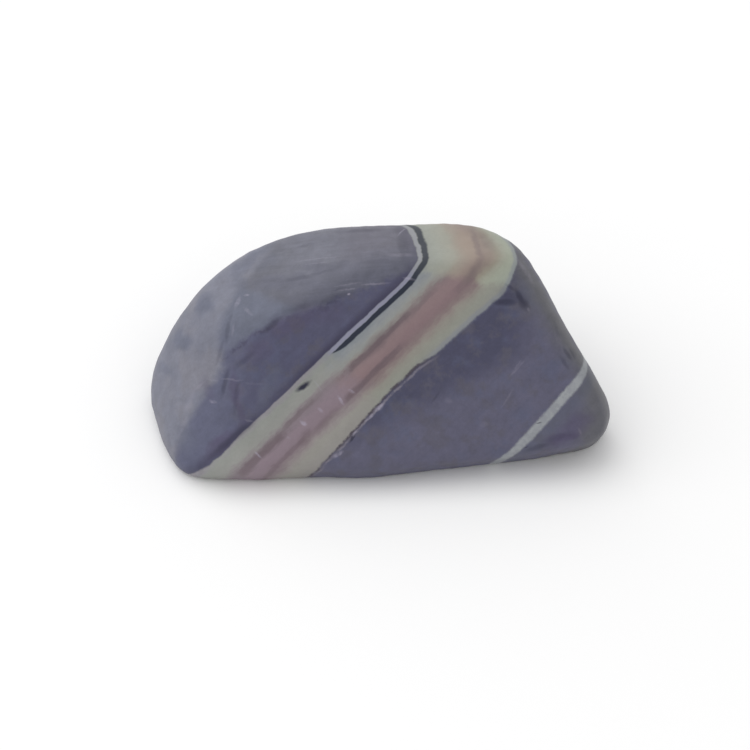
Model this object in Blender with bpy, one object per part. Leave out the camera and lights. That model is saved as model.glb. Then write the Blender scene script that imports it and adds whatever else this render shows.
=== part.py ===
"""River pebble: one stone, worn by water into soft facets.

The surface is a soft polytope. Each worn facet is a plane, given by the way it faces
and its distance from the stone's heart. A point of a sphere is moved along its ray to
where the ratios of all planes, added at a high power, come to one, so the stone is
nearly flat in the middle of a facet and rounded where facets meet. A low swell makes
the facets a little uneven, and the underside is ground flat where the stone rests.
"""

import math

import bmesh
import bpy
import numpy as np

MM = 0.001

# Driving dimensions, in millimetres and degrees. Azimuth 0 faces the front (-Y) and
# 90 the right (+X). Elevation 90 faces straight up.
# Each facet: name, azimuth, elevation, distance from the heart.
FACETS = (
    ("front slope", 2, 43, 10.0),
    ("top", -175, 75, 14.9),
    ("upper left", -81, 70, 14.9),
    ("left slope", -71, 35, 22.2),
    ("left front", -34, 45, 15.8),
    ("left rim", -117, 12, 27.1),
    ("left back corner", -128, 26, 22.6),
    ("left foot", -77, -8, 31.6),
    ("left front foot", -48, -27, 29.5),
    ("right slope", 84, 42, 22.7),
    ("right rim", 120, 12, 21.2),
    ("right foot", 65, -14, 31.0),
    ("front foot", 1, -25, 17.5),
    ("right front foot", 10, -33, 17.2),
    ("back rim", 180, 35, 16.7),
    ("back left rim", -158, 37, 18.2),
    ("back right rim", 147, 34, 21.0),
    ("back", 178, -12, 13.4),
    ("back left", -142, -8, 20.6),
    ("back right", 139, -16, 19.4),
    ("under back", 172, -48, 12.0),
    ("under left", -92, -55, 24.0),
    ("under right", 97, -57, 22.4),
    ("base", 0, -90, 8.0),
)
EDGE_POWER = 24               # higher is a tighter rounding between facets
REST_DEPTH = 7.8              # from the heart down to the flat that it rests on

SWELL_SEED = 7
SWELL_WAVES = 6
SWELL_HEIGHT = 0.05           # of one wave
SWELL_SHORTEST = 9.0
SWELL_LONGEST = 21.0

# Half sizes that spread the sphere's triangles evenly over the long, low stone.
SPREAD = (30.0, 17.0, 12.0)
SPHERE_SUBDIVISIONS = 5
SNAP = 0.12                   # points this close to the flat move onto it
SMOOTH_ANGLE = 30

STONE_COLOUR = (0.135, 0.130, 0.175, 1.0)
STONE_ROUGHNESS = 0.55


def facet_planes():
    """Return the facets' outward unit normals and their distances in millimetres."""
    azimuth = np.radians([facet[1] for facet in FACETS])
    elevation = np.radians([facet[2] for facet in FACETS])
    normals = np.stack([np.sin(azimuth) * np.cos(elevation),
                        -np.cos(azimuth) * np.cos(elevation),
                        np.sin(elevation)], axis=1)
    distances = np.array([facet[3] for facet in FACETS])
    return normals, distances


def worn_radius(directions):
    """Distance from the heart to the soft polytope along each unit direction."""
    normals, distances = facet_planes()
    ratios = np.maximum(directions @ normals.T / distances, 0.0)
    return (ratios ** EDGE_POWER).sum(axis=1) ** (-1.0 / EDGE_POWER)


def swell(points):
    """Low uneven height at each point: a sum of seeded plane waves."""
    rng = np.random.RandomState(SWELL_SEED)
    height = np.zeros(len(points))
    for _ in range(SWELL_WAVES):
        heading = rng.normal(size=3)
        heading /= np.linalg.norm(heading)
        length = rng.uniform(SWELL_SHORTEST, SWELL_LONGEST)
        phase = rng.uniform(0.0, 2.0 * math.pi)
        height += np.sin(points @ heading * 2.0 * math.pi / length + phase)
    return height * SWELL_HEIGHT


def stone_points(sphere_points):
    """Move points of a unit sphere onto the worn stone, in millimetres."""
    directions = sphere_points * np.array(SPREAD)
    directions /= np.linalg.norm(directions, axis=1)[:, None]
    points = directions * worn_radius(directions)[:, None]
    return points + directions * swell(points)[:, None]


def grind_flat(mesh):
    """Cut the stone off flat at the resting depth and close it there."""
    level = -REST_DEPTH * MM
    stone = bmesh.new()
    stone.from_mesh(mesh)
    everything = stone.verts[:] + stone.edges[:] + stone.faces[:]
    bmesh.ops.bisect_plane(stone, geom=everything, dist=SNAP * MM, plane_co=(0, 0, level),
                           plane_no=(0, 0, -1), clear_outer=True)
    rim = [edge for edge in stone.edges if edge.is_boundary]
    for edge in rim:
        for vertex in edge.verts:
            vertex.co.z = level
    bmesh.ops.holes_fill(stone, edges=rim, sides=0)
    bmesh.ops.recalc_face_normals(stone, faces=stone.faces[:])
    stone.to_mesh(mesh)
    stone.free()


def centre_over_origin(mesh):
    """Put the middle of the stone's box over the origin and its flat at height 0."""
    points = np.empty(len(mesh.vertices) * 3)
    mesh.vertices.foreach_get("co", points)
    points = points.reshape(-1, 3)
    middle = (points.min(axis=0) + points.max(axis=0)) / 2
    points -= (middle[0], middle[1], -REST_DEPTH * MM)
    mesh.vertices.foreach_set("co", points.ravel())
    mesh.update()


def stone_material():
    """Matte, faintly waxy violet-grey stone."""
    material = bpy.data.materials.new("violet_grey_stone")
    material.use_nodes = True
    shader = material.node_tree.nodes["Principled BSDF"]
    shader.inputs["Base Color"].default_value = STONE_COLOUR
    shader.inputs["Roughness"].default_value = STONE_ROUGHNESS
    shader.inputs["Metallic"].default_value = 0.0
    material.diffuse_color = STONE_COLOUR
    return material


def make_pebble(collection):
    """Make the stone from a sphere and link it to the collection."""
    bpy.ops.mesh.primitive_ico_sphere_add(subdivisions=SPHERE_SUBDIVISIONS, radius=1.0)
    pebble = bpy.context.object
    pebble.name = "pebble"
    mesh = pebble.data
    mesh.name = "pebble"

    points = np.empty(len(mesh.vertices) * 3)
    mesh.vertices.foreach_get("co", points)
    points = stone_points(points.reshape(-1, 3))
    mesh.vertices.foreach_set("co", (points * MM).ravel())

    grind_flat(mesh)
    centre_over_origin(mesh)
    mesh.materials.append(stone_material())
    mesh.shade_smooth()
    mesh.set_sharp_from_angle(angle=math.radians(SMOOTH_ANGLE))

    for home in pebble.users_collection:
        home.objects.unlink(pebble)
    collection.objects.link(pebble)
    return pebble


def main():
    for leftover in list(bpy.data.objects):
        bpy.data.objects.remove(leftover, do_unlink=True)
    collection = bpy.data.collections.new("river_pebble")
    bpy.context.scene.collection.children.link(collection)
    make_pebble(collection)


main()
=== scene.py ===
"""River pebble, dressed: the stone's fine worn surface and its banded colours.

Lengths are in millimetres and are measured from the stone's heart, the point that its
facets are given from, until a mesh, a light or the camera is placed in metres.
"""

import functools
import math

import bpy
import numpy as np
from mathutils import Matrix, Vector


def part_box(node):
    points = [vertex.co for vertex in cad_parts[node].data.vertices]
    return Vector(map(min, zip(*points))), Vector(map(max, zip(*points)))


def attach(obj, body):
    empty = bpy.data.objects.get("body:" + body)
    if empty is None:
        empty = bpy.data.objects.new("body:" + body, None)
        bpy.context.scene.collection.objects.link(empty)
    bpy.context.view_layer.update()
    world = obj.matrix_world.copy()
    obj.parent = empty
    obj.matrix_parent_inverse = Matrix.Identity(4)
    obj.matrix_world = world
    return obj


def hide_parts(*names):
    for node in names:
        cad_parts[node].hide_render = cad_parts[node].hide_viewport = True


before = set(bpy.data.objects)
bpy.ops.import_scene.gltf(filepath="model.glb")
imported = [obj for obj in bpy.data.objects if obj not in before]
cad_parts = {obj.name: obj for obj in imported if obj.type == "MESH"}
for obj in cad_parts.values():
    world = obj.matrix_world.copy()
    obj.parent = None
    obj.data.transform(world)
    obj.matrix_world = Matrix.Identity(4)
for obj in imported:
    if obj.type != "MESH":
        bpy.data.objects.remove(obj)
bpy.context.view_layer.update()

MM = 0.001

# Facets of the worn stone: name, azimuth, elevation and distance from the heart.
# Azimuth 0 faces the front (-Y) and 90 the right (+X).
FACETS = (
    ("front slope", 2, 43, 10.0),
    ("top", -175, 75, 14.9),
    ("upper left", -81, 70, 14.9),
    ("left slope", -71, 35, 22.2),
    ("left front", -34, 45, 15.8),
    ("left rim", -117, 12, 27.1),
    ("left back corner", -128, 26, 22.6),
    ("left foot", -77, -8, 31.6),
    ("left front foot", -48, -27, 29.5),
    ("right slope", 84, 42, 22.7),
    ("right rim", 120, 12, 21.2),
    ("right foot", 65, -14, 31.0),
    ("front foot", 1, -25, 17.5),
    ("right front foot", 10, -33, 17.2),
    ("back rim", 180, 35, 16.7),
    ("back left rim", -158, 37, 18.2),
    ("back right rim", 147, 34, 21.0),
    ("back", 178, -12, 13.4),
    ("back left", -142, -8, 20.6),
    ("back right", 139, -16, 19.4),
    ("under back", 172, -48, 12.0),
    ("under left", -92, -55, 24.0),
    ("under right", 97, -57, 22.4),
    ("base", 0, -90, 8.0),
)
EDGE_POWER = 24
REST_DEPTH = 7.8

SWELL_SEED = 7
SWELL_WAVES = 6
SWELL_HEIGHT = 0.05
SWELL_SHORTEST = 9.0
SWELL_LONGEST = 21.0

RIPPLE_SEED = 11
RIPPLE_WAVES = 14
RIPPLE_HEIGHT = 0.008
RIPPLE_SHORTEST = 1.6
RIPPLE_LONGEST = 5.5
SKIN_INSET = 0.03             # how far the skin lies inside the solid's surface

LATTICE_HALVES = (30.0, 16.0, 11.5)
LATTICE_CELLS = (204, 110, 78)

# The bedding: flat layers through the whole stone. A place's depth in the layers grows
# towards the lower right, and its run grows along the band towards the upper right.
BEDDING_NORMAL = np.array((0.600, -0.081, -0.796))
BAND_RUN = np.array((0.721, 0.486, 0.494))
FOOT_BEND_TOP = -3.4          # below this height the layers steepen,
FOOT_BEND_SLOPE = 0.45        # by this much depth for each millimetre
THIN_BAND_DEPTH = 12.74       # of the thin band's middle, to the right of this run,
THIN_BAND_RUN = 16.0          # and this much deeper for each millimetre to the left of it
THIN_BAND_SLOPE = 0.067

# The seam along the band's right edge: its layer depth at its low end, the run where it
# starts to climb, and the run where it stops.
SEAM_DEPTH = -0.40
SEAM_START = -13.0
SEAM_STOP = -3.5
SEAM_SLOPE = 0.06
SEAM_GROOVE = 0.06            # how deep it is worn in
SEAM_HALF_WIDTH = 0.28
SEAM_END = 6.0                # the run where the groove has faded out,
SEAM_FADE = 4.0               # and how far before that it starts to fade

# Borders between the plain stone's tones. Each is a plane through the heart and two of
# the picture's places, and its inner side lies to the left of the way between them.
SLOPE_TOP_BORDER = ((303, 311), (400, 276))
SLOPE_MIDDLE_BORDER = ((250, 336), (303, 307))
SLOPE_LEFT_BORDER = ((216, 343), (250, 336))
SHADE_LOWER_BORDER = ((425, 412), (515, 366))
SHADE_RIGHT_BORDER = ((532, 365), (536, 300))
TOP_LEFT_BORDER = ((236, 285), (284, 306))
PALE_UPPER_BORDER = ((224, 370), (234, 298))
PALE_LOWER_BORDER = ((176, 452), (222, 370))
RIGHT_EDGE_BORDER = ((517, 265), (591, 382))
BAND_TOP_BORDER = ((428, 274), (480, 284))

# The picture's view of the stone.
SHOT_LENS = 100.0
SHOT_SENSOR = 36.0
SHOT_ELEVATION = 45.0
SHOT_WIDTH = 98.5             # of the view, at the heart
PIXELS = 750
HEART_PIXEL = (381.0, 351.5)  # where the heart shows in the picture
RAY_REACH = 40.0              # how far a pixel's ray is searched to either side of the heart
RAY_POINTS = 1601

# Small marks, among them a few painted highlights and painted shade: name, the picture's pixels
# where each starts and ends, its width in millimetres, its strength from 0 to 1 and, where it is
# pressed in, how deep.
PALE_MARKS = (
    ("fleck over the slope", (348, 294), (349, 294), 0.26, 0.50),
    ("fleck on the ridge", (246, 295), (248, 295), 0.35, 0.30),
    # A painted highlight on the ridge.
    ("streak on the ridge", (239, 299), (236, 306), 0.55, 0.26),
    ("streak right of the ridge", (245, 309), (251, 314), 0.40, 0.16),
    ("line beside the ridge groove", (234, 326), (232, 334), 0.34, 0.14),
    ("lilac fleck 1", (339, 398), (342, 403), 0.35, 0.42),
    ("lilac fleck 2", (350, 390), (353, 392), 0.35, 0.30),
    ("lilac fleck 3", (319, 409), (321, 411), 0.38, 0.28),
    ("lilac fleck 4", (302, 422), (305, 424), 0.45, 0.48),
    ("lilac fleck 5", (256, 453), (260, 457), 0.28, 0.40),
    ("lilac fleck 6", (288, 437), (289, 438), 0.30, 0.22),
    ("speck below the upper ridge", (528, 309), (529, 311), 0.30, 0.12),
    ("speck on the front", (447, 401), (450, 401), 0.60, 0.08),
    ("second speck on the front", (483, 424), (486, 424), 0.60, 0.06),
    ("fleck at the lower right", (580, 430), (581, 434), 0.36, 0.10),
    ("chip on the right edge 1", (376, 410), (382, 405), 0.45, 0.50, 0.05),
    ("chip on the right edge 2", (367, 420), (373, 415), 0.30, 0.42, 0.04),
    ("chip on the right edge 3", (335, 457), (341, 453), 0.42, 0.45, 0.05),
    ("chip on the right edge 4", (353, 435), (356, 431), 0.25, 0.35),
    ("line on the top", (298, 261), (339, 256), 0.22, 0.14),
    ("second line on the top", (307, 264), (328, 261), 0.22, 0.12),
    ("patch on the top", (391, 255), (408, 255), 0.90, 0.16),
    ("line over the slope", (364, 285), (386, 283), 0.26, 0.22),
    ("second line over the slope", (340, 290), (354, 289), 0.26, 0.20),
    ("third line over the slope", (338, 286), (362, 283), 0.22, 0.14),
    ("scratch at the back edge", (399, 235), (405, 229), 0.26, 0.30),
    ("nick over the double line", (405, 278), (415, 280), 0.30, 0.30),
    # Painted soft highlights along the left ridge.
    ("left ridge streak", (193, 391), (186, 410), 0.90, 0.11),
    ("left ridge streak, lower", (186, 418), (179, 434), 0.70, 0.10),
    ("left ridge streak, upper", (203, 383), (194, 390), 0.36, 0.14),
    ("scratch across the left front", (216, 380), (208, 379), 0.24, 0.10),
    ("scratch above the spot", (221, 379), (240, 380), 0.24, 0.14),
    ("long scratch above the spot", (244, 383), (264, 384), 0.30, 0.04),
    ("crescent", (211, 401), (215, 402), 0.40, 0.28),
    ("glint on the right front", (512, 374), (523, 362), 0.28, 0.13),
    ("second glint on the right front", (514, 370), (520, 362), 0.24, 0.11),
    ("low glint on the right front", (503, 405), (512, 391), 0.26, 0.10),
    ("streak under the right ridge", (556, 334), (561, 346), 0.60, 0.06),
    ("rim of the left edge, low", (246, 420), (252, 421), 0.25, 0.12),
    ("scratch by the dark spot", (315, 382), (322, 390), 0.22, 0.12),
    ("rim right of the band", (519, 262), (530, 278), 0.90, 0.16),
)
DARK_MARKS = (
    ("dark spot", (299, 389), (307, 384), 0.62, 1.00, 0.10),
    ("tail of the dark spot", (309, 382), (311, 381), 0.30, 0.20),
    ("dark chip on the right edge", (350, 440), (354, 435), 0.40, 0.80, 0.06),
    # The ridge dent: pressed in, with painted shade in its hollow.
    ("ridge dent", (498, 302), (513, 302), 0.80, 0.60, 0.10),
    ("ridge dent corner", (517, 292), (525, 306), 0.80, 0.72, 0.12),
    ("ridge dent hollow", (506, 294), (521, 299), 1.60, 0.22),
    ("ridge dent, lower end", (521, 300), (525, 306), 1.10, 0.60),
    ("ridge dent, upper", (508, 286), (516, 291), 0.50, 0.40, 0.08),
    ("short groove on the right", (565, 350), (571, 358), 0.50, 0.36, 0.08),
    ("second short groove on the right", (571, 350), (575, 357), 0.40, 0.30, 0.06),
    ("third short groove on the right", (562, 358), (567, 367), 0.50, 0.30, 0.06),
    ("faint line on the right", (555, 322), (560, 346), 0.50, 0.14),
    ("left front groove", (227, 373), (222, 393), 0.70, 0.42, 0.10),
    ("second left front groove", (238, 384), (235, 402), 0.60, 0.26, 0.06),
    ("third left front groove", (237, 398), (233, 414), 0.55, 0.18, 0.04),
    ("slanting left front groove", (238, 366), (252, 355), 0.60, 0.20, 0.05),
    ("ridge groove", (230, 318), (226, 341), 0.55, 0.30, 0.08),
    ("lower ridge groove", (222, 344), (216, 364), 0.50, 0.20, 0.05),
    ("line on the top", (286, 281), (313, 275), 0.70, 0.24),
    ("line on the top, right part", (305, 276), (328, 270), 0.50, 0.20),
    ("smudge on the top", (345, 231), (376, 230), 1.00, 0.30),
    ("short smudge on the top", (300, 246), (312, 243), 0.60, 0.20),
    ("smudge by the double line", (401, 236), (406, 262), 1.30, 0.30),
    ("streak left of the double line", (366, 262), (396, 262), 0.80, 0.16),
    ("smudge over the slope", (326, 300), (347, 294), 0.70, 0.30),
    ("line over the slope", (332, 295), (343, 296), 0.30, 0.30),
    ("upper line over the slope", (333, 290), (352, 288), 0.22, 0.26),
    ("middle line over the slope", (333, 293), (346, 293), 0.22, 0.22),
    ("border of the slope", (285, 313), (320, 300), 0.70, 0.20, 0.05),
    # A painted shadow line beside the slope's upper border, pressed in a little.
    ("border of the slope, middle", (265, 331), (279, 319), 0.70, 0.40, 0.06),
    ("border of the slope, right", (322, 302), (334, 300), 0.80, 0.35, 0.05),
    ("short line on the front", (433, 401), (439, 393), 0.30, 0.28),
    ("dash in the thin band", (537, 423), (541, 422), 0.14, 0.60),
    ("second dash in the thin band", (525, 448), (528, 447), 0.14, 0.50),
    ("low streak on the right", (547, 441), (568, 434), 0.80, 0.20),
    ("second low streak on the right", (529, 450), (546, 445), 0.70, 0.36),
    ("blotch at the band's foot", (215, 453), (250, 424), 0.90, 0.45),
    ("corner of the band's foot", (176, 466), (200, 468), 0.80, 0.30),
)
CLOUD_MARKS = (
    ("upper cloud", (204, 299), (206, 308), 2.40, 0.95),
    ("lower cloud", (179, 340), (188, 343), 2.60, 1.00),
    ("haze round the lower cloud", (172, 336), (194, 350), 3.60, 0.35),
    ("cloud at the rim", (160, 367), (173, 371), 1.60, 0.60),
    ("cloud under the top", (262, 262), (270, 262), 3.00, 0.35),
    ("cloud by the ridge", (238, 268), (239, 290), 2.00, 0.50),
    ("cloud over the ridge", (262, 249), (240, 268), 2.80, 0.72),
    ("second cloud by the ridge", (256, 296), (268, 286), 2.20, 0.35),
    ("low cloud", (182, 428), (186, 440), 3.00, 0.45),
    ("cloud left of the band", (262, 404), (272, 380), 2.40, 0.50),
)
HAZE_MARKS = (
    ("haze under the line on the top", (252, 283), (318, 283), 2.60, 0.85),
    ("haze on the top, right part", (304, 269), (345, 267), 2.00, 0.75),
    ("haze by the double line", (360, 253), (390, 257), 2.60, 0.25),
)
PEACH_MARKS = (
    ("peach patch on the top", (465, 236), (472, 253), 2.60, 0.75),
    ("peach patch at the right", (483, 251), (491, 258), 1.50, 0.22),
)
MAUVE_MARKS = (
    ("mauve line on the top", (473, 233), (480, 258), 0.80, 0.40),
    ("mauve line to the slope", (480, 258), (470, 280), 1.00, 0.30),
    ("brown patch on the top", (484, 237), (491, 246), 1.40, 0.18),
    ("patch low in the pink", (302, 441), (309, 434), 1.20, 0.32),
    ("streak low in the pink", (317, 429), (334, 414), 0.90, 0.34),
    ("streak high in the pink", (367, 353), (389, 331), 1.50, 0.50),
)
VIOLET_MARKS = (
    ("violet patch at the band's foot", (208, 456), (238, 432), 1.80, 0.70),
    ("violet patch under the ridge", (276, 330), (312, 312), 2.60, 0.50),
    ("violet patch, right part", (318, 318), (338, 310), 2.40, 0.35),
    ("violet patch, lower", (255, 352), (268, 343), 2.40, 0.45),
    ("violet patch beside the grooves", (206, 384), (212, 394), 1.80, 0.30),
    ("violet streak under the grooves", (233, 374), (241, 424), 1.30, 0.60),
    ("violet patch at the lower right", (566, 430), (584, 420), 2.60, 0.55),
    ("violet patch under the thin band", (554, 440), (572, 435), 1.60, 0.85),
)

# Streaks within the band: name, the runs where each starts and ends, its layer depth,
# half its width and its strength from 0 to 1.
BAND_STREAKS = (
    ("left streak, low", -23.5, -16.0, -5.95, 0.46, 0.75),
    ("left streak, middle", -16.0, -9.8, -6.28, 0.24, 0.50),
    ("left streak, high", -5.0, 6.0, -6.02, 0.28, 0.85),
    ("left streak, by the top", 5.0, 10.5, -5.80, 0.30, 0.30),
    ("right streak, low", -23.5, -14.0, -3.85, 0.24, 0.50),
    ("right streak, high", -7.5, 2.0, -3.85, 0.36, 0.85),
    ("right streak, by the top", 11.6, 16.2, -4.05, 0.46, 0.36),
)
STREAK_SOFTNESS = 0.5         # of a streak's sides, as a share of half its width
STREAK_FADE = 1.0             # how far a streak fades in and out to either side of its ends
STREAK_STRENGTH = 0.8         # of the streaks where the wisps are neither light nor dark

# Marks on the sides that the picture doesn't show, scattered by a seed: how many of each
# and how strong, and the least and greatest width and share of that strength.
HIDDEN_MARKS_SEED = 23
HIDDEN_PALE = (22, 0.5)
HIDDEN_DARK = (14, 0.4)
HIDDEN_WIDTHS = (0.3, 0.8)
HIDDEN_SHARES = (0.5, 1.0)
HIDDEN_LENGTH = 1.2
HIDDEN_FACING = -0.1          # towards the camera: marks keep to what faces it less

# A stroke's core is where it is half strong, as a share of its reach.
STROKE_CORE = 0.62
STROKE_THICKNESS = 1.6        # how far a stroke reaches into the stone

UP = (0.0, 0.0, 1.0)
LEFT = (-1.0, 0.0, 0.0)
TOP_RISE = (0.0, 0.25, 1.0)   # up and a little back, which tells the top from the slope

# Cloudy noises: features to a millimetre, levels of finer ones and how strong these are.
NOISES = {
    "drift": (0.22, 3.0, 0.5),
    "ragged": (0.8, 4.0, 0.6),
    "blue patches": (0.31, 4.0, 0.6),
    "brown patches": (0.47, 4.0, 0.6),
    "chips": (0.7, 3.0, 0.6),
    "warm film and sheen": (0.2, 3.0, 0.5),
    "worn film and sheen": (0.28, 5.0, 0.65),
    "bedding": (1.0, 4.0, 0.6),
    "along the top": (1.0, 4.0, 0.6),
    "down the left": (1.0, 4.0, 0.65),
    "streaky patches": (0.25, 3.0, 0.5),
    "mottle": (0.6, 5.0, 0.7),
    "fine mottle": (3.0, 3.0, 0.6),
    "wisps": (1.0, 4.0, 0.65),
    "blots": (0.55, 3.0, 0.6),
    "threads": (1.0, 3.0, 0.6),
    "band grain": (2.4, 4.0, 0.65),
    "edge": (0.9, 3.0, 0.6),
    "fine edge": (3.0, 3.0, 0.6),
    "broken seam": (0.8, 3.0, 0.6),
    "thin band edge": (2.4, 3.0, 0.6),
    "thin band clouds": (0.9, 3.0, 0.6),
    "wobble": (0.35, 2.0, 0.5),
    "fine wobble": (1.6, 2.0, 0.5),
    "haze": (0.35, 2.0, 0.5),
    "patch": (0.6, 2.0, 0.5),
    "mark": (0.7, 2.0, 0.5),
    "fine mark": (3.0, 2.0, 0.5),
    "broken flecks and highlights": (1.6, 3.0, 0.6),
    "roughness": (0.8, 4.0, 0.6),
    "surface grain": (5.0, 4.0, 0.65),
}

# Streaky noises: the way they run, the way their flat side faces, and how long they are
# along, across and through.
GRAINS = {
    "bedding": (BAND_RUN, BEDDING_NORMAL, (6.0, 3.0, 0.5)),
    "along the top": ((1.0, 0.08, 0.08), (0.0, -1.0, 1.0), (6.0, 0.6, 4.0)),
    "down the left": ((-0.30, -0.45, -0.84), (-0.4, -0.6, 0.7), (5.0, 0.6, 2.0)),
    "wisps": (BAND_RUN, BEDDING_NORMAL, (3.0, 1.6, 0.6)),
    "threads": (BAND_RUN, BEDDING_NORMAL, (1.2, 0.6, 0.3)),
}

# How far each noise moves places, in millimetres.
REACHES = {
    "drift": 4.0,
    "ragged": 1.8,
    "edge": 0.28,
    "fine edge": 0.20,
    "thin band edge": 0.25,
    "wobble": 0.25,
    "fine wobble": 0.12,
    "haze": 2.6,
    "patch": 0.9,
    "mark": 0.45,
    "fine mark": 0.16,
}

# How strongly each noise lightens and darkens what it lies on.
CONTRASTS = {
    "bedding": 0.22,
    "along the top": 0.55,
    "down the left": 0.15,
    "mottle": 0.56,
    "fine mottle": 0.20,
    "blots": 0.14,
    "wisps": 0.10,
    "band grain": 0.16,
}

# What moves each border or layer, and by how much of it.
SWAYS = {
    "shade": (("drift", 0.2), ("ragged", 0.3)),
    "high slope": (("drift", 1.0),),
    "left front": (("drift", 0.5),),
    "up the left": (("drift", 0.5),),
    "left of the top": (("drift", 0.5),),
    "front of the top": (("drift", 0.5),),
    "over the left": (("ragged", 0.5),),
    "past the slope": (("ragged", 0.8),),
    "pale end": (("ragged", 0.6), ("drift", 0.1)),
    "right film and sheen": (("ragged", 0.6),),
    "far right": (("ragged", 0.6),),
    "layers": (("wisps", 0.9), ("blots", 0.6), ("threads", 0.9)),
    "high layers": (("blots", 6.0),),
    "top layers": (("blots", 0.5), ("threads", 0.25)),
    "band on the top": (("blots", 1.4), ("threads", 0.5)),
    "streaks": (("wisps", 0.5), ("threads", 0.3)),
    "streak ends": (("blots", 4.0),),
}

# Changes: where each starts and where it is over, and how strong it gets if not 1. They
# are in millimetres, and for patches in levels of their noise.
CHANGES = {
    "shade": (-0.9, 2.2),
    "high slope": (0.0, 10.0, 0.08),
    "shade by the band": (-8.0, -2.0),
    "blue patches": (0.48, 0.68, 0.45),
    "brown patches": (0.48, 0.66, 0.6),
    "left front": (14.5, 22.0),
    "up the left": (1.0, 9.0),
    "left of the top": (2.5, 7.5),
    "front of the top": (1.0, 6.5),
    "dim end of the top": (9.5, 15.5, 0.22),
    "over the left": (-0.7, 1.1),
    "past the slope": (-0.4, 0.5),
    "chips": (0.46, 0.58),
    "chips on the left": (3.0, 7.0),
    "soft foot of the pale end": (-1.0, -4.0, 0.8),
    "left end": (12.0, 17.0),
    "warm film and sheen": (0.42, 0.6),
    "right film and sheen": (-2.0, 0.4, 0.95),
    "right end": (-10.0, -14.0),
    "far right": (-24.0, -27.0, 0.85),
    "worn film and sheen": (0.56, 0.42),
    "inner side of the film and sheen": (0.6, 3.0),
    "along the top": (9.0, 12.0),
    "down the left": (14.0, 18.0),
    "streaky patches": (0.36, 0.6),
    "high layers": (-8.0, -3.0),
    "band on the top": (-0.4, 0.7),
    "light foot of the band": (-19.0, -23.5, 0.09),
    "rim outside the band": (-1.1, -0.1, 0.85),
    "rim inside the band": (0.5, 0.1),
    "rim at the foot": (-8.0, -14.0, 0.48),
    "rim at the top": (4.0, 12.0, 0.6),
    "left side of the band": (-0.1, 0.1),
    "right side of the band": (-0.14, 0.14),
    "double line on the top": (8.5, 11.5),
    "narrower light line": (9.0, 11.0, 0.10),
    "left side of the light line": (-0.09, 0.11),
    "right side of the light line": (-0.10, 0.10),
    "low end of the light line": (-5.6, -4.2),
    "left side of the dark line": (-0.07, 0.07),
    "right side of the dark line": (-0.09, 0.09),
    "low end of the dark line": (-5.0, -4.3),
    "width of the dark line": (-5.4, -2.2, 0.55),
    "narrower dark line": (11.4, 13.4, 0.12),
    "worn seam": (6.0, 1.5),
    "broken seam": (0.40, 0.56, 0.65),
    "glint away from the seam": (-8.0, -3.0, 0.14),
    "thin band bends": (16.8, 18.2, 0.5),
    "thin band clouds": (0.62, 0.35, 0.25),
    "thin band fades": (14.0, 18.0, 0.2),
    "broken flecks and highlights": (0.30, 0.58),
}

# Lines: how far the middle of each lies past its edge, half its width and how soft its
# sides are.
LINES = {
    "rim of the slope": (-0.35, 0.30, 0.28),
    "seam": (0.03, 0.17, 0.11),
    "glint": (0.24, 0.11, 0.10),
    "fringe": (-0.18, 0.26, 0.22),
    "thin band": (0.0, 0.49, 0.18),
    "shade under the thin band": (1.1, 0.8, 0.7),
}
SLOPE_RIM_STRENGTH = 0.45
SEAM_STRENGTH = 0.9
SEAM_LEAST = 0.35             # what is left of the seam's lines where they are broken
GLINT_STRENGTH = 0.75
FRINGE_STRENGTH = 0.55
THIN_SHADE_STRENGTH = 0.4
FLECK_LEAST = 0.4             # what is left of a pale mark where it is broken
# The right film is partly painted sheen; where it is worn, both the film and the painted sheen
# are taken away.
FILM_AND_SHEEN_WEAR = 0.7               # how much of the right film is gone where it is worn

# Where the pale end starts and where it is full, past its border.
PALE_END = (-0.5, 0.8)
PALE_END_FOOT = 0.5           # how much later it is full at its soft foot, as a share

# The band's edges: layer depths, and their bends, each between two runs and by how much.
LEFT_EDGE_DEPTH = -9.13
LEFT_EDGE_BENDS = ((-18.5, -25.0, 0.42), (-24.6, -29.4, -1.0), (1.5, 7.5, 0.15),
                   (8.5, 10.8, -0.22), (11.8, 15.8, 0.50))
RIGHT_EDGE_BENDS = ((1.6, 5.2, 0.5), (11.0, 14.0, 0.22), (16.0, 21.0, -1.15))
LIGHT_LINE_WIDTH = 0.41
DARK_LINE_OFFSET = 0.42       # of its left side from the band's left edge

ROUGHNESS = 0.46
ROUGHNESS_REACH = 0.16
BUMP_STRENGTH = 0.3
BUMP_HEIGHT = 0.06

FLOOR_SIZE = 4.0              # metres
FLOOR_TONE = (0.9, 0.9, 0.9, 1.0)
FLOOR_ROUGHNESS = 0.9
SURROUNDINGS_LIGHT = 0.84
SHOT_CLIP_START = 0.01        # metres

# How much light the facets get in the picture, and the gloss that lies over them.
FRONT_LIGHT = 0.90
EDGE_LIGHT = 1.26
TOP_LIGHT = 1.38
LEFT_LIGHT = 1.40
LEFT_FRONT_LIGHT = 1.0
PEACH_LIGHT = 1.15
GLOSS = 0.03


def paint(red, green, blue, light=FRONT_LIGHT):
    """A linear colour from the 8-bit one that a facet shows under its light.

    The 8-bit colour is made linear by the sRGB curve, the gloss is taken off, and the
    rest is divided by the light.
    """
    display = np.array((red, green, blue)) / 255.0
    linear = np.where(display <= 0.04045, display / 12.92,
                      ((display + 0.055) / 1.055) ** 2.4)
    return (*((linear - GLOSS) / light).tolist(), 1.0)


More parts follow.
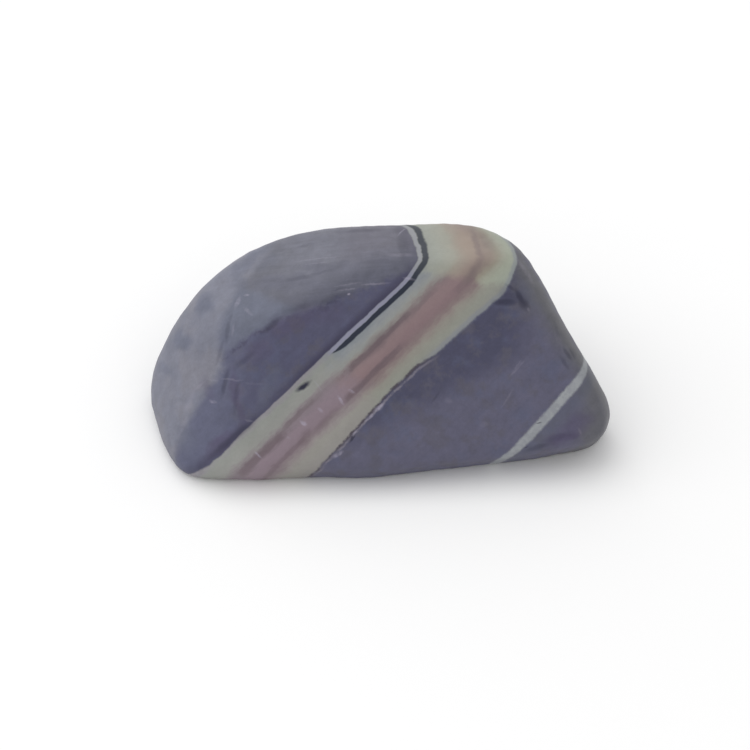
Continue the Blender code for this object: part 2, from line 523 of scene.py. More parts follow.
SLOPE_DARK = paint(74, 74, 92)
SLOPE_LEFT = paint(81, 81, 101)
SLOPE_LIGHT = paint(91, 90, 107)
SLOPE_BLUE = paint(84, 88, 109)
SLOPE_BROWN = paint(87, 85, 95)
SLOPE_VIOLET = paint(81, 76, 97)
LEFT_LOW = paint(99, 100, 121)
LEFT_HIGH = paint(109, 113, 130, EDGE_LIGHT)
LEFT_FRONT = paint(93, 95, 115, LEFT_FRONT_LIGHT)
TOP_FRONT = paint(108, 109, 124, TOP_LIGHT)
TOP_GREY = paint(117, 116, 129, TOP_LIGHT)
TOP_LEFT = paint(125, 126, 139, TOP_LIGHT)
# The pale end's tones: partly a paler film on the stone, partly painted sheen.
PALE = paint(133, 135, 150, LEFT_LIGHT)
PALE_WARM = paint(138, 138, 150, LEFT_LIGHT)
CLOUD = paint(114, 118, 136, LEFT_LIGHT)
# The right end's grey: partly a film on the stone, partly painted sheen.
RIGHT_FILM_AND_SHEEN = paint(94, 94, 98)
DARK_RIM = paint(63, 61, 79)
DARK_LINE = paint(48, 52, 63)
DARK_MARK_AND_SHADE = paint(49, 49, 63)
DARK_LINE_TOP = paint(67, 72, 81, TOP_LIGHT)
LIGHT_LINE = paint(130, 130, 147)
LIGHT_LINE_TOP = paint(160, 162, 167, TOP_LIGHT)
SEAM_DARK = paint(74, 69, 77)
SEAM_LIGHT = paint(120, 116, 126)
SEAM_FRINGE = paint(119, 123, 132)
PEACH = paint(161, 147, 135, PEACH_LIGHT)
STREAK_MAUVE = paint(99, 87, 92)
FLECK_AND_HIGHLIGHT = paint(165, 160, 176)
THIN_BAND = paint(144, 147, 150)
THIN_BAND_SHADE = paint(86, 90, 102)

# The band's layers low on the slope, high on it and on the top: layer depth and colour.
LOW_LAYERS = (
    (-9.1, paint(133, 130, 135)),
    (-8.4, paint(134, 136, 132)),
    (-7.1, paint(137, 137, 134)),
    (-6.6, paint(128, 121, 124)),
    (-6.3, paint(122, 113, 118)),
    (-5.7, paint(126, 115, 122)),
    (-5.2, paint(130, 117, 125)),
    (-4.4, paint(128, 115, 123)),
    (-3.8, paint(123, 110, 117)),
    (-3.3, paint(127, 117, 120)),
    (-2.8, paint(136, 129, 129)),
    (-2.2, paint(138, 136, 131)),
    (-0.4, paint(135, 132, 130)),
)
HIGH_LAYERS = (
    (-8.3, paint(121, 126, 131)),
    (-7.7, paint(131, 134, 137)),
    (-7.0, paint(136, 138, 136)),
    (-6.6, paint(134, 131, 128)),
    (-6.25, paint(124, 115, 115)),
    (-5.9, paint(123, 109, 111)),
    (-5.4, paint(129, 112, 114)),
    (-4.8, paint(129, 111, 113)),
    (-4.2, paint(125, 107, 110)),
    (-3.6, paint(122, 106, 108)),
    (-3.2, paint(123, 110, 110)),
    (-2.8, paint(131, 121, 118)),
    (-2.3, paint(134, 131, 124)),
    (-1.6, paint(134, 135, 127)),
    (-0.4, paint(131, 132, 128)),
)
TOP_LAYERS = (
    (-9.0, paint(157, 160, 155, 1.30)),
    (-7.6, paint(165, 168, 159, 1.28)),
    (-6.5, paint(166, 165, 154, 1.25)),
    (-6.1, paint(163, 156, 145, 1.22)),
    (-5.7, paint(159, 149, 139, 1.18)),
    (-5.1, paint(153, 139, 131, 1.15)),
    (-4.7, paint(144, 130, 124, 1.12)),
    (-3.8, paint(140, 129, 121, 1.08)),
    (-3.3, paint(144, 139, 127, 1.04)),
    (-2.9, paint(149, 149, 137, 1.01)),
    (-2.2, paint(150, 154, 141, 0.98)),
    (-1.4, paint(148, 153, 142, 0.95)),
    (-0.5, paint(143, 149, 141, 0.92)),
)

def unit(vector):
    """The vector at length one."""
    return np.asarray(vector) / np.linalg.norm(vector)


def facet_planes():
    """Outward unit normals and distances of the facets."""
    azimuth = np.radians([facet[1] for facet in FACETS])
    elevation = np.radians([facet[2] for facet in FACETS])
    normals = np.stack([np.sin(azimuth) * np.cos(elevation),
                        -np.cos(azimuth) * np.cos(elevation),
                        np.sin(elevation)], axis=1)
    return normals, np.array([facet[3] for facet in FACETS])


def facet_powers(points):
    """Each facet's ratio at each point, raised to the edge power.

    A ratio is the point's height towards the facet over the facet's own distance.
    Points are on the surface where the powers of all facets add up to one.
    """
    normals, distances = facet_planes()
    return np.maximum(points @ normals.T / distances, 0.0) ** EDGE_POWER


def facet_shares(points):
    """How much each facet shapes the surface at each point; the shares add up to one."""
    powers = facet_powers(points)
    return powers / powers.sum(axis=-1, keepdims=True)


def outward_at(points):
    """Outward unit directions of the surface: facet normals over distance, by share."""
    normals, distances = facet_planes()
    outward = facet_shares(points) @ (normals / distances[:, None])
    return outward / np.linalg.norm(outward, axis=-1, keepdims=True)


def on_surface(directions):
    """Points of the soft polytope along unit directions from the heart.

    The radius is the sum of the facet powers to the power of minus one over the edge
    power.
    """
    radius = facet_powers(directions).sum(axis=-1) ** (-1.0 / EDGE_POWER)
    return directions * radius[..., None]


def waves(points, seed, count, height, shortest, longest):
    """Uneven height: a sum of seeded plane waves, each a sine along a random heading."""
    rng = np.random.RandomState(seed)
    total = np.zeros(len(points))
    for _ in range(count):
        heading = unit(rng.normal(size=3))
        length = rng.uniform(shortest, longest)
        phase = rng.uniform(0.0, 2.0 * math.pi)
        total += np.sin(points @ heading * 2.0 * math.pi / length + phase)
    return total * height


def camera_axes():
    """The camera's right, up and backward directions."""
    elevation = math.radians(SHOT_ELEVATION)
    return (np.array((1.0, 0.0, 0.0)),
            np.array((0.0, math.sin(elevation), math.cos(elevation))),
            np.array((0.0, -math.cos(elevation), math.sin(elevation))))


def camera_place():
    """Where the camera stands from the heart, so that the heart shows at its pixel."""
    right, up, back = camera_axes()
    pixel = SHOT_WIDTH / PIXELS
    aim = (right * (PIXELS / 2 - HEART_PIXEL[0]) + up * (HEART_PIXEL[1] - PIXELS / 2)) * pixel
    return aim + back * SHOT_WIDTH * SHOT_LENS / SHOT_SENSOR


def on_stone(pixel):
    """Where a pixel of the picture falls on the stone.

    Points are taken along the pixel's ray, and the surface lies between the last one
    outside it and the first one inside, in proportion to their sums of facet powers.
    """
    right, up, back = camera_axes()
    slope = SHOT_SENSOR / SHOT_LENS / PIXELS
    ray = unit(right * (pixel[0] - PIXELS / 2) * slope
               + up * (PIXELS / 2 - pixel[1]) * slope - back)
    start = camera_place()
    reach = np.linalg.norm(start) + np.linspace(-RAY_REACH, RAY_REACH, RAY_POINTS)
    points = start + ray * reach[:, None]
    gauge = facet_powers(points).sum(axis=1) ** (1.0 / EDGE_POWER)
    inside = int(np.argmax(gauge < 1.0))
    before, after = gauge[inside - 1], gauge[inside]
    return points[inside - 1] + ray * (reach[1] - reach[0]) * (before - 1.0) / (before - after)


def placed(marks):
    """The marks with their pixels made places on the stone, and their names left off."""
    return [(on_stone(start), on_stone(end), width, strength, sum(depth))
            for _, start, end, width, strength, *depth in marks]


def hidden_marks(rng, count, strength):
    """Marks scattered over the back, the ends and the underside, from a seeded source."""
    marks = []
    while len(marks) < count:
        heading = unit(rng.normal(size=3))
        start = on_surface(heading)
        if np.dot(outward_at(start), camera_axes()[2]) > HIDDEN_FACING:
            continue
        end = on_surface(unit(start + rng.normal(size=3) * HIDDEN_LENGTH))
        width = rng.uniform(*HIDDEN_WIDTHS)
        marks.append((start, end, width, strength * rng.uniform(*HIDDEN_SHARES), 0.0))
    return marks


def border(start, end):
    """The unit normal of the plane through the heart and two pixels' places."""
    return unit(np.cross(on_stone(start), on_stone(end)))


def box_lattice(cells, halves):
    """Points of a box's surface and the quads between them.

    Each side is a grid of two parameters. A corner is keyed by its place in a count
    along x, y and z, so that neighbouring sides share the points of their edge.
    """
    counts = tuple(cell + 1 for cell in cells)
    quads = []
    for axis in range(3):
        across, up = (axis + 1) % 3, (axis + 2) % 3
        first, second = np.meshgrid(np.arange(cells[across]), np.arange(cells[up]),
                                    indexing="ij")
        for end in (0, cells[axis]):
            corners = []
            for step_across, step_up in ((0, 0), (1, 0), (1, 1), (0, 1)):
                place = [None, None, None]
                place[axis] = np.full(first.shape, end)
                place[across] = first + step_across
                place[up] = second + step_up
                corners.append(np.ravel_multi_index(place, counts).ravel())
            if end == 0:
                corners.reverse()
            quads.append(np.stack(corners, axis=1))
    keys, faces = np.unique(np.concatenate(quads), return_inverse=True)
    lattice = np.stack(np.unravel_index(keys, counts), axis=1)
    points = (lattice / np.array(cells) * 2.0 - 1.0) * np.array(halves)
    return points, faces.reshape(-1, 4)


def stone_surface():
    """The worn stone as points and quads: the lattice moved onto the soft polytope.

    The low swell is added along each direction, as in the solid underneath.
    """
    points, faces = box_lattice(LATTICE_CELLS, LATTICE_HALVES)
    directions = points / np.linalg.norm(points, axis=1)[:, None]
    points = on_surface(directions)
    swell = waves(points, SWELL_SEED, SWELL_WAVES, SWELL_HEIGHT, SWELL_SHORTEST,
                  SWELL_LONGEST)
    return points + directions * swell[:, None], faces


def dents(points, marks):
    """How deep the marks are pressed in at each point.

    A mark's hollow is its depth times (1 - (r / w) squared) squared, where r is the
    distance to its line and w is its width, and the deepest hollow holds.
    """
    deepest = np.zeros(len(points))
    for start, end, width, _, depth in marks:
        if depth == 0.0:
            continue
        line = end - start
        share = np.clip((points - start) @ line / (line @ line), 0.0, 1.0)
        distance = np.linalg.norm(points - start - share[:, None] * line, axis=1)
        hollow = np.maximum(1.0 - (distance / width) ** 2, 0.0) ** 2
        deepest = np.maximum(deepest, hollow * depth)
    return deepest


def seam(points):
    """How deep the worn seam along the band's right edge is, at each point.

    It is a bell curve about the seam's layer depth, and it fades out along the run.
    """
    depth = points @ unit(BEDDING_NORMAL)
    run = points @ unit(BAND_RUN)
    climb = np.clip(run - SEAM_START, 0.0, SEAM_STOP - SEAM_START) * SEAM_SLOPE
    bend = np.maximum(FOOT_BEND_TOP - points[:, 2], 0.0) * FOOT_BEND_SLOPE
    fade = np.clip((SEAM_END - run) / SEAM_FADE, 0.0, 1.0)
    off = (depth - SEAM_DEPTH + climb - bend) / SEAM_HALF_WIDTH
    return SEAM_GROOVE * np.exp(-off ** 2) * fade


def flat_underside(points):
    """No point lower than the flat that the stone rests on."""
    points = points.copy()
    points[:, 2] = np.maximum(points[:, 2], -REST_DEPTH)
    return points


def solid_box():
    """The lowest and highest corner of the solid's box, in millimetres."""
    return (np.array(corner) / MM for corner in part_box("pebble"))


def heart_place(points):
    """Where the heart lies in the frame, so that the stone fills its solid's box."""
    low, high = solid_box()
    middle = (points.min(axis=0) + points.max(axis=0)) / 2
    return np.array(((low[0] + high[0]) / 2 - middle[0],
                     (low[1] + high[1]) / 2 - middle[1],
                     low[2] + REST_DEPTH))


def make_mesh(name, points, faces):
    """A mesh object at the origin with its place in its mesh, shaded smooth."""
    mesh = bpy.data.meshes.new(name)
    mesh.from_pydata((points * MM).tolist(), [], faces.tolist())
    mesh.shade_smooth()
    piece = bpy.data.objects.new(name, mesh)
    bpy.context.scene.collection.objects.link(piece)
    return piece


def make_stone(marks):
    """The pebble's skin, and where its heart lies in the frame.

    The surface is moved outwards by the ripple, less the inset and the deeper of the
    dents and the seam.
    """
    surface, faces = stone_surface()
    heart = heart_place(flat_underside(surface))
    hollow = np.maximum(dents(surface, marks), seam(surface))
    ripple = waves(surface, RIPPLE_SEED, RIPPLE_WAVES, RIPPLE_HEIGHT, RIPPLE_SHORTEST,
                   RIPPLE_LONGEST)
    height = ripple - SKIN_INSET - hollow
    skin = flat_underside(surface + outward_at(surface) * height[:, None]) + heart
    piece = make_mesh("stone_skin", np.clip(skin, *solid_box()), faces)
    return piece, heart


class Wire:
    """A value socket of a node sheet. Arithmetic on it adds Math nodes."""

    def __init__(self, sheet, socket):
        self.sheet = sheet
        self.socket = socket

    def math(self, operation, *values):
        return self.sheet.node("ShaderNodeMath", {"operation": operation},
                               dict(enumerate(values)))

    def __add__(self, other):
        return self.math("ADD", self, other)

    def __sub__(self, other):
        return self.math("SUBTRACT", self, other)

    def __rsub__(self, other):
        return self.math("SUBTRACT", other, self)

    def __mul__(self, other):
        return self.math("MULTIPLY", self, other)

    def __truediv__(self, other):
        return self.math("DIVIDE", self, other)

    def __abs__(self):
        return self.math("ABSOLUTE", self)

    def most(self, other):
        return self.math("MAXIMUM", self, other)

    def least(self, other):
        return self.math("MINIMUM", self, other)

    __radd__ = __add__
    __rmul__ = __mul__


class Sheet:
    """A material's node tree, with short calls for what the stone's finish needs."""

    def __init__(self, material):
        self.tree = material.node_tree
        self.shader = self.tree.nodes["Principled BSDF"]

    def node(self, kind, settings, inputs, output=0):
        """Add a node: its settings first, then its sockets' values or links."""
        node = self.tree.nodes.new(kind)
        for name, value in settings.items():
            if name == "stops":
                self.set_stops(node.color_ramp, value)
            else:
                setattr(node, name, value)
        for name, value in inputs.items():
            self.feed(node.inputs[name], value)
        return Wire(self, node.outputs[output])

    def feed(self, socket, value):
        """Give a socket a value or a link."""
        if isinstance(value, Wire):
            self.tree.links.new(value.socket, socket)
        else:
            socket.default_value = value

    def set_stops(self, ramp, stops):
        """Give a ramp its stops, each a place from 0 to 1 and a colour."""
        while len(ramp.elements) > 1:
            ramp.elements.remove(ramp.elements[-1])
        ramp.elements[0].position, ramp.elements[0].color = stops[0]
        for position, colour in stops[1:]:
            ramp.elements.new(position).color = colour

    def vector(self, operation, first, second, output=0):
        return self.node("ShaderNodeVectorMath", {"operation": operation},
                         {0: first, 1: second}, output)

    def dot(self, first, second):
        return self.vector("DOT_PRODUCT", first, tuple(second), "Value")

    def ease(self, value, low, high, strength=1.0):
        """0 below low, the strength above high, and a smooth S between."""
        return self.node("ShaderNodeMapRange", {"interpolation_type": "SMOOTHSTEP"},
                         {"Value": value, "From Min": low, "From Max": high,
                          "To Max": strength})

    def change(self, value, name):
        """How far a change has gone, by its row in CHANGES."""
        return self.ease(value, *CHANGES[name])

    def swayed(self, value, sways, name):
        """The value moved by noises, by its row in SWAYS."""
        for noise, amount in SWAYS[name]:
            value = value + sways[noise] * amount
        return value

    def swayed_change(self, value, sways, name):
        """How far a change has gone whose border is moved by noises."""
        return self.change(self.swayed(value, sways, name), name)

    def bent(self, edge, run, bends):
        """An edge's layer depth with its bends added."""
        for bend in bends:
            edge = edge + self.ease(run, *bend)
        return edge

    def line(self, value, middle, half_width, softness):
        """1 where the value is within a half width of the middle, with soft sides."""
        return 1 - self.ease(abs(value - middle), half_width - softness, half_width + softness)

    def named_line(self, value, edge, name):
        """A line past an edge, by its row in LINES."""
        offset, half_width, softness = LINES[name]
        return self.line(value, edge + offset, half_width, softness)

    def mix(self, first, second, share):
        """A colour between two."""
        return self.node("ShaderNodeMix", {"data_type": "RGBA", "clamp_factor": True},
                         {0: share, 6: first, 7: second}, 2)

    def brighten(self, colour, factor):
        """A colour times a number."""
        return self.node("ShaderNodeVectorMath", {"operation": "SCALE"},
                         {0: colour, "Scale": factor})

    def noise(self, place, name, output="Fac"):
        """Cloudy noise around 0.5, by its row in NOISES."""
        scale, detail, roughness = NOISES[name]
        return self.node("ShaderNodeTexNoise", {},
                         {"Vector": place, "Scale": scale, "Detail": detail,
                          "Roughness": roughness}, output)

    def sway(self, place, name):
        """Cloudy noise around 0, which moves places by up to about half its reach."""
        return (self.noise(place, name) - 0.5) * REACHES[name]

    def patches(self, place, name):
        """1 in the patches of a noise and 0 between them."""
        return self.change(self.noise(place, name), name)

    def grain(self, place, name):
        """Streaky noise around 0, by its row in GRAINS."""
        return self.noise(self.turned(place, *GRAINS[name]), name) - 0.5

    def roughen(self, place, name):
        """The place moved about by cloudy noise, by up to about half its reach."""
        reach = REACHES[name]
        moved = self.node("ShaderNodeVectorMath", {"operation": "MULTIPLY_ADD"},
                          {0: self.noise(place, name, "Color"), 1: (reach,) * 3, 2: place})
        return self.vector("SUBTRACT", moved, (reach / 2,) * 3)

    def turned(self, place, along, outward, lengths, middle=(0.0, 0.0, 0.0)):
        """The place in a frame of its own: x runs along, z outwards, in these lengths."""
        x_axis = unit(along)
        y_axis = unit(np.cross(outward, x_axis))
        axes = Matrix((x_axis, y_axis, np.cross(x_axis, y_axis))).transposed()
        return self.node("ShaderNodeMapping", {"vector_type": "TEXTURE"},
                         {"Vector": place, "Location": tuple(middle),
                          "Rotation": tuple(axes.to_euler()), "Scale": tuple(lengths)})

    def stroke(self, place, start, end, width, strength):
        """A long soft spot: 1 less the distance in the spot's own lengths, eased."""
        half = 0.5 / STROKE_CORE
        along = end - start
        lengths = ((np.linalg.norm(along) + width) * half, width * half, STROKE_THICKNESS)
        inner = self.turned(place, along, outward_at((start + end) / 2), lengths,
                            (start + end) / 2)
        core = self.node("ShaderNodeTexGradient", {"gradient_type": "SPHERICAL"},
                         {"Vector": inner}, "Fac")
        return self.ease(core, 0.0, 2.0 * (1.0 - STROKE_CORE), strength)

    def strokes(self, place, marks):
        """The strongest of the marks' strokes at each place."""
        return self.strongest(self.stroke(place, *mark[:4]) for mark in marks)

    def strongest(self, wires):
        """The greatest of several values."""
        return functools.reduce(Wire.most, wires)

    def beyond(self, place, edge):
        """How far the place is past a border, in millimetres, on the border's inner side."""
        return self.dot(place, border(*edge))

    def ramp(self, value, stops):
        """The colour between stops, each a level of the value and a colour."""
        first, last = stops[0][0], stops[-1][0]
        shares = [((level - first) / (last - first), colour) for level, colour in stops]
        return self.node("ShaderNodeValToRGB", {"stops": shares},
                         {"Fac": (value - first) / (last - first)})


def slope_tones(sheet, place, sways):
    """The front slope: violet-grey, in shade by the band, with blue and brown patches."""
    height = sheet.dot(place, UP)
    leftward = sheet.dot(place, LEFT)
    shade = (sheet.beyond(place, SHADE_LOWER_BORDER)
             .least(sheet.beyond(place, SHADE_RIGHT_BORDER)))
    dark = (sheet.swayed_change(shade, sways, "shade")
            .most(sheet.swayed_change(height, sways, "high slope")))
    level = sheet.dot(place, unit(BEDDING_NORMAL))
    shadow = sheet.mix(SLOPE_LEFT, SLOPE_DARK, sheet.change(level, "shade by the band"))
    slope = sheet.mix(SLOPE_LIGHT, shadow, dark)
    slope = sheet.mix(slope, SLOPE_BLUE, sheet.patches(place, "blue patches"))
    slope = sheet.mix(slope, SLOPE_BROWN, sheet.patches(place, "brown patches"))
    return sheet.mix(slope, LEFT_FRONT, sheet.swayed_change(leftward, sways, "left front"))


def upper_tones(sheet, place, sways, past):
    """What lies past the slope: the lighter left facets and the greyer top."""
    height = sheet.dot(place, UP)
    leftward = sheet.dot(place, LEFT)
    left = sheet.mix(LEFT_LOW, LEFT_HIGH, sheet.swayed_change(height, sways, "up the left"))
    top = sheet.mix(TOP_GREY, TOP_LEFT,
                    sheet.swayed_change(leftward, sways, "left of the top"))
    top = sheet.mix(TOP_FRONT, top, sheet.swayed_change(past, sways, "front of the top"))
    top = sheet.brighten(top, 1 - sheet.change(leftward, "dim end of the top"))
    over = sheet.beyond(place, TOP_LEFT_BORDER)
    return sheet.mix(left, top, sheet.swayed_change(over, sways, "over the left"))


def end_films_and_sheen(sheet, place, sways, stone):
    """A pale film on the left end, and a grey one, worn in places, on the right end; each is
    partly the stone's own film and partly painted sheen.
    """
    height = sheet.dot(place, UP)
    leftward = sheet.dot(place, LEFT)
    # The pale film on the left end, partly painted sheen.
    end = sheet.swayed(sheet.beyond(place, PALE_UPPER_BORDER)
                       .least(sheet.beyond(place, PALE_LOWER_BORDER)), sways, "pale end")
    soft = sheet.change(height, "soft foot of the pale end")
    start, full = PALE_END
    pale_share = (sheet.ease(end, start - soft, full + soft * PALE_END_FOOT)
                  * sheet.change(leftward, "left end"))
    pale = sheet.mix(PALE, PALE_WARM, sheet.patches(place, "warm film and sheen"))
    stone = sheet.mix(stone, pale, pale_share)

    # The grey film on the right end, partly painted sheen.
    right = sheet.swayed(sheet.beyond(place, RIGHT_EDGE_BORDER), sways, "right film and sheen")
    film = ((sheet.change(right, "right film and sheen") * sheet.change(leftward, "right end"))
            .most(sheet.swayed_change(leftward, sways, "far right")))
    worn = sheet.patches(place, "worn film and sheen") * sheet.change(right, "inner side of the film and sheen")
    return sheet.mix(stone, RIGHT_FILM_AND_SHEEN, film * (1 - worn * FILM_AND_SHEEN_WEAR))


def stone_ground(sheet, place):
    """The plain stone: violet-grey slope, greyer top, and a film on each end that is partly
    painted sheen.
    """
    sways = {name: sheet.sway(place, name) for name in ("drift", "ragged")}
    past = sheet.swayed(sheet.beyond(place, SLOPE_MIDDLE_BORDER)
                        .least(sheet.beyond(place, SLOPE_LEFT_BORDER))
                        .most(sheet.beyond(place, SLOPE_TOP_BORDER)),
                        sways, "past the slope")
    stone = sheet.mix(slope_tones(sheet, place, sways),
                      upper_tones(sheet, place, sways, past),
                      sheet.change(past, "past the slope"))
    chips = (sheet.patches(place, "chips")
             * sheet.change(sheet.dot(place, LEFT), "chips on the left"))
    rim = sheet.named_line(past, 0.0, "rim of the slope") * chips * SLOPE_RIM_STRENGTH
    stone = sheet.mix(stone, DARK_RIM, rim)
    return end_films_and_sheen(sheet, place, sways, stone)


def streaks(sheet, place, stone):
    """Faint streaks along the bedding, the top and the left front, and a mottling."""
    patchy = sheet.patches(place, "streaky patches")
    on_top = sheet.change(sheet.dot(place, TOP_RISE), "along the top")
    on_left = sheet.change(sheet.dot(place, LEFT), "down the left")
    bedding = sheet.grain(place, "bedding") * CONTRASTS["bedding"]
    top = sheet.grain(place, "along the top") * on_top * patchy * CONTRASTS["along the top"]
    down = sheet.grain(place, "down the left") * on_left * patchy * CONTRASTS["down the left"]
    mottle, fine = ((sheet.noise(place, name) - 0.5) * CONTRASTS[name]
                    for name in ("mottle", "fine mottle"))
    return sheet.brighten(stone, 1.0 + (bedding + top + down) + mottle + fine)


def band_layers(sheet, place, run, depth):
    """The band's own colours: layers by depth, other ones on the top, and streaks."""
    sways = {"wisps": sheet.grain(place, "wisps"),
             "blots": sheet.noise(place, "blots") - 0.5,
             "threads": sheet.grain(place, "threads")}
    layer = sheet.swayed(depth, sways, "layers")
    slope = sheet.mix(sheet.ramp(layer, LOW_LAYERS), sheet.ramp(layer, HIGH_LAYERS),
                      sheet.swayed_change(run, sways, "high layers"))

    streak_depth = sheet.swayed(depth, sways, "streaks")
    streak_run = sheet.swayed(run, sways, "streak ends")
    mauve = sheet.strongest(
        sheet.line(streak_depth, middle, half, half * STREAK_SOFTNESS)
        * sheet.ease(streak_run, start - STREAK_FADE, start + STREAK_FADE, strength)
        * sheet.ease(streak_run, end + STREAK_FADE, end - STREAK_FADE)
        for _, start, end, middle, half, strength in BAND_STREAKS)

    over = sheet.beyond(place, BAND_TOP_BORDER)
    band = sheet.mix(slope, sheet.ramp(sheet.swayed(depth, sways, "top layers"), TOP_LAYERS),
                     sheet.swayed_change(over, sways, "band on the top"))
    band = sheet.mix(band, STREAK_MAUVE, mauve * (sways["wisps"] + STREAK_STRENGTH))
    grain = sheet.noise(place, "band grain") - 0.5
    return sheet.brighten(band, 1.0 + sheet.change(run, "light foot of the band")
                          + sways["blots"] * CONTRASTS["blots"]
                          + sways["wisps"] * CONTRASTS["wisps"]
                          + grain * CONTRASTS["band grain"])


def band_edges(sheet, place, run):
    """Layer depths of the band's left edge and of its right one, which is ragged."""
    climb = (run - SEAM_START).most(0.0).least(SEAM_STOP - SEAM_START) * SEAM_SLOPE
    ragged = sheet.sway(place, "edge") + sheet.sway(place, "fine edge")
    return (sheet.bent(LEFT_EDGE_DEPTH, run, LEFT_EDGE_BENDS),
            sheet.bent(SEAM_DEPTH - climb + ragged, run, RIGHT_EDGE_BENDS))


def double_line(sheet, run, depth, left, colour):
    """The light line and the dark line beside it along the band's upper left edge."""
    on_top = sheet.change(run, "double line on the top")
    narrowing = sheet.change(run, "narrower light line")
    light = (sheet.change(depth - left, "left side of the light line")
             * sheet.change(left + LIGHT_LINE_WIDTH - narrowing - depth,
                            "right side of the light line")
             * sheet.change(run, "low end of the light line"))
    colour = sheet.mix(colour, sheet.mix(LIGHT_LINE, LIGHT_LINE_TOP, on_top), light)
    start = left + DARK_LINE_OFFSET - narrowing
    width = sheet.change(run, "width of the dark line") - sheet.change(run, "narrower dark line")
    dark = (sheet.change(depth - start, "left side of the dark line")
            * sheet.change(start + width - depth, "right side of the dark line")
            * sheet.change(run, "low end of the dark line"))
    return sheet.mix(colour, sheet.mix(DARK_LINE, DARK_LINE_TOP, on_top), dark)


def seam_lines(sheet, place, run, depth, right, colour):
    """The worn seam on the band's right edge with a glint beside it, and a pale fringe."""
    worn = sheet.change(run, "worn seam")
    broken = sheet.patches(place, "broken seam") + SEAM_LEAST
    dark = sheet.named_line(depth, right, "seam") * worn * broken
    colour = sheet.mix(colour, SEAM_DARK, dark * SEAM_STRENGTH)
    away = right + sheet.change(run, "glint away from the seam")
    glint = sheet.named_line(depth, away, "glint") * worn * broken
    colour = sheet.mix(colour, SEAM_LIGHT, glint * GLINT_STRENGTH)
    fringe = sheet.named_line(depth, right, "fringe") * (1 - worn)
    return sheet.mix(colour, SEAM_FRINGE, fringe * FRINGE_STRENGTH)


def thin_band(sheet, place, run, depth, colour):
    """The thin pale band near the right end, with a shade under it."""
    middle = (THIN_BAND_DEPTH + (THIN_BAND_RUN - run).most(0.0) * THIN_BAND_SLOPE
              + sheet.change(run, "thin band bends"))
    clouds = sheet.patches(place, "thin band clouds")
    ragged = depth + sheet.sway(place, "thin band edge")
    pale = (sheet.named_line(ragged, middle, "thin band")
            * (1.0 - clouds) * (1 - sheet.change(run, "thin band fades")))
    shade = sheet.named_line(depth, middle, "shade under the thin band")
    colour = sheet.mix(colour, THIN_BAND_SHADE, shade * THIN_SHADE_STRENGTH)
    return sheet.mix(colour, THIN_BAND, pale)


def banding(sheet, place, run, depth, stone):
    """The slanting band, its edge lines and the thin band, laid into the plain stone."""
    left, right = band_edges(sheet, place, run)
    rim = (sheet.change(depth - left, "rim outside the band")
           * sheet.change(depth - left, "rim inside the band")
           * (1 - sheet.change(run, "rim at the foot"))
           * (1 - sheet.change(run, "rim at the top")))
    stone = sheet.mix(stone, DARK_RIM, rim)
    inside = (sheet.change(depth - left, "left side of the band")
              * sheet.change(right - depth, "right side of the band"))
    colour = sheet.mix(stone, band_layers(sheet, place, run, depth), inside)
    colour = double_line(sheet, run, depth, left, colour)
    colour = seam_lines(sheet, place, run, depth, right, colour)
    return thin_band(sheet, place, run, depth, colour)


def stone_material(heart, pale, dark):
    """Banded violet-grey stone: layers by depth in the bedding, tones by border."""
    material = bpy.data.materials.new("banded_stone")
    material.use_nodes = True
    sheet = Sheet(material)
    around = sheet.node("ShaderNodeTexCoord", {}, {}, "Object")
    place = sheet.node("ShaderNodeVectorMath", {"operation": "MULTIPLY_ADD"},
                       {0: around, 1: (1 / MM,) * 3, 2: tuple(-heart)})
    run = sheet.dot(place, unit(BAND_RUN))
    level = sheet.dot(place, unit(BEDDING_NORMAL))
    wobble = sheet.sway(place, "wobble") + sheet.sway(place, "fine wobble")
    foot_bend = (FOOT_BEND_TOP - sheet.dot(place, UP)).most(0.0) * FOOT_BEND_SLOPE
    depth = level + wobble - foot_bend

    stone = stone_ground(sheet, place)
    hazy = sheet.roughen(place, "haze")
    for tone, marks in ((CLOUD, CLOUD_MARKS), (TOP_FRONT, HAZE_MARKS),
                        (SLOPE_VIOLET, VIOLET_MARKS)):
        stone = sheet.mix(stone, tone, sheet.strokes(hazy, placed(marks)))
    stone = streaks(sheet, place, stone)
    colour = banding(sheet, place, run, depth, stone)
    close = sheet.roughen(place, "patch")
    for tone, marks in ((PEACH, PEACH_MARKS), (STREAK_MAUVE, MAUVE_MARKS)):
        colour = sheet.mix(colour, tone, sheet.strokes(close, placed(marks)))
    rough_place = sheet.roughen(sheet.roughen(place, "mark"), "fine mark")
    # Dark marks, with the painted shade of the ridge dent and of the slope's border among them.
    colour = sheet.mix(colour, DARK_MARK_AND_SHADE, sheet.strokes(rough_place, dark))
    # Pale flecks, with the painted highlights among them, broken in patches.
    broken = sheet.patches(place, "broken flecks and highlights") * (1 - FLECK_LEAST) + FLECK_LEAST
    colour = sheet.mix(colour, FLECK_AND_HIGHLIGHT, sheet.strokes(rough_place, pale) * broken)

    sheet.feed(sheet.shader.inputs["Base Color"], colour)
    sheet.feed(sheet.shader.inputs["Roughness"],
               sheet.noise(place, "roughness") * ROUGHNESS_REACH + ROUGHNESS)
    bump = sheet.node("ShaderNodeBump", {}, {"Height": sheet.noise(place, "surface grain"),
                                            "Strength": BUMP_STRENGTH,
                                            "Distance": BUMP_HEIGHT * MM})
    sheet.feed(sheet.shader.inputs["Normal"], bump)
    return material


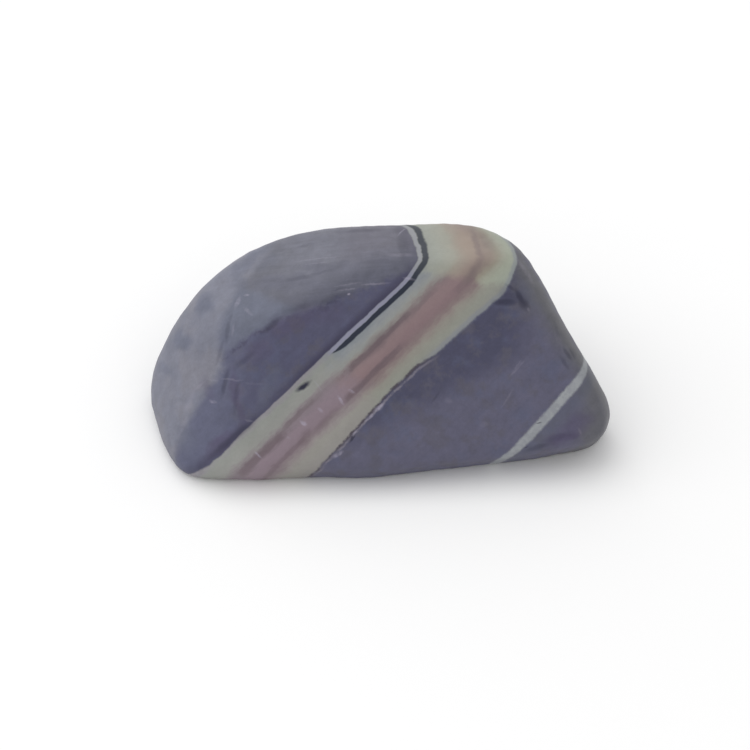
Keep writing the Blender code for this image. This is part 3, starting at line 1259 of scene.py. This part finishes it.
def make_camera(heart):
    """Look along +Y and down, from where the stone fills its place in the picture."""
    data = bpy.data.cameras.new("camera")
    data.lens = SHOT_LENS
    data.sensor_width = SHOT_SENSOR
    data.clip_start = SHOT_CLIP_START
    camera = bpy.data.objects.new("camera", data)
    camera.location = (heart + camera_place()) * MM
    camera.rotation_euler = (math.radians(90.0 - SHOT_ELEVATION), 0.0, 0.0)
    bpy.context.scene.collection.objects.link(camera)
    bpy.context.scene.camera = camera


def make_floor():
    """A plain pale floor under the stone."""
    bpy.ops.mesh.primitive_plane_add(size=FLOOR_SIZE)
    floor = bpy.context.object
    floor.name = "floor"
    material = bpy.data.materials.new("pale_floor")
    material.use_nodes = True
    shader = material.node_tree.nodes["Principled BSDF"]
    shader.inputs["Base Color"].default_value = FLOOR_TONE
    shader.inputs["Roughness"].default_value = FLOOR_ROUGHNESS
    shader.inputs["Specular IOR Level"].default_value = 0.0
    floor.data.materials.append(material)


def make_light(name, azimuth, elevation, distance, size, power):
    """A square soft light, placed by its direction from the stone and facing it."""
    azimuth, elevation = math.radians(azimuth), math.radians(elevation)
    data = bpy.data.lights.new(name, "AREA")
    data.size = size
    data.energy = power
    light = bpy.data.objects.new(name, data)
    light.location = (distance * math.sin(azimuth) * math.cos(elevation),
                      -distance * math.cos(azimuth) * math.cos(elevation),
                      distance * math.sin(elevation))
    light.rotation_euler = (math.pi / 2 - elevation, 0.0, azimuth)
    bpy.context.scene.collection.objects.link(light)


def make_world(strength):
    """Even white surroundings."""
    world = bpy.data.worlds.new("surroundings")
    world.use_nodes = True
    background = world.node_tree.nodes["Background"]
    background.inputs["Color"].default_value = (1.0, 1.0, 1.0, 1.0)
    background.inputs["Strength"].default_value = strength
    bpy.context.scene.world = world


hidden = np.random.RandomState(HIDDEN_MARKS_SEED)
pale_marks = placed(PALE_MARKS) + hidden_marks(hidden, *HIDDEN_PALE)
dark_marks = placed(DARK_MARKS) + hidden_marks(hidden, *HIDDEN_DARK)

stone, heart = make_stone(pale_marks + dark_marks)
stone.data.materials.append(stone_material(heart, pale_marks, dark_marks))
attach(stone, "root")
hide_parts("pebble")

make_floor()
make_world(SURROUNDINGS_LIGHT)
make_light("overhead_left", azimuth=-120, elevation=50, distance=1.0, size=1.6, power=7.0)
make_camera(heart)
bpy.context.scene.view_settings.view_transform = "Standard"
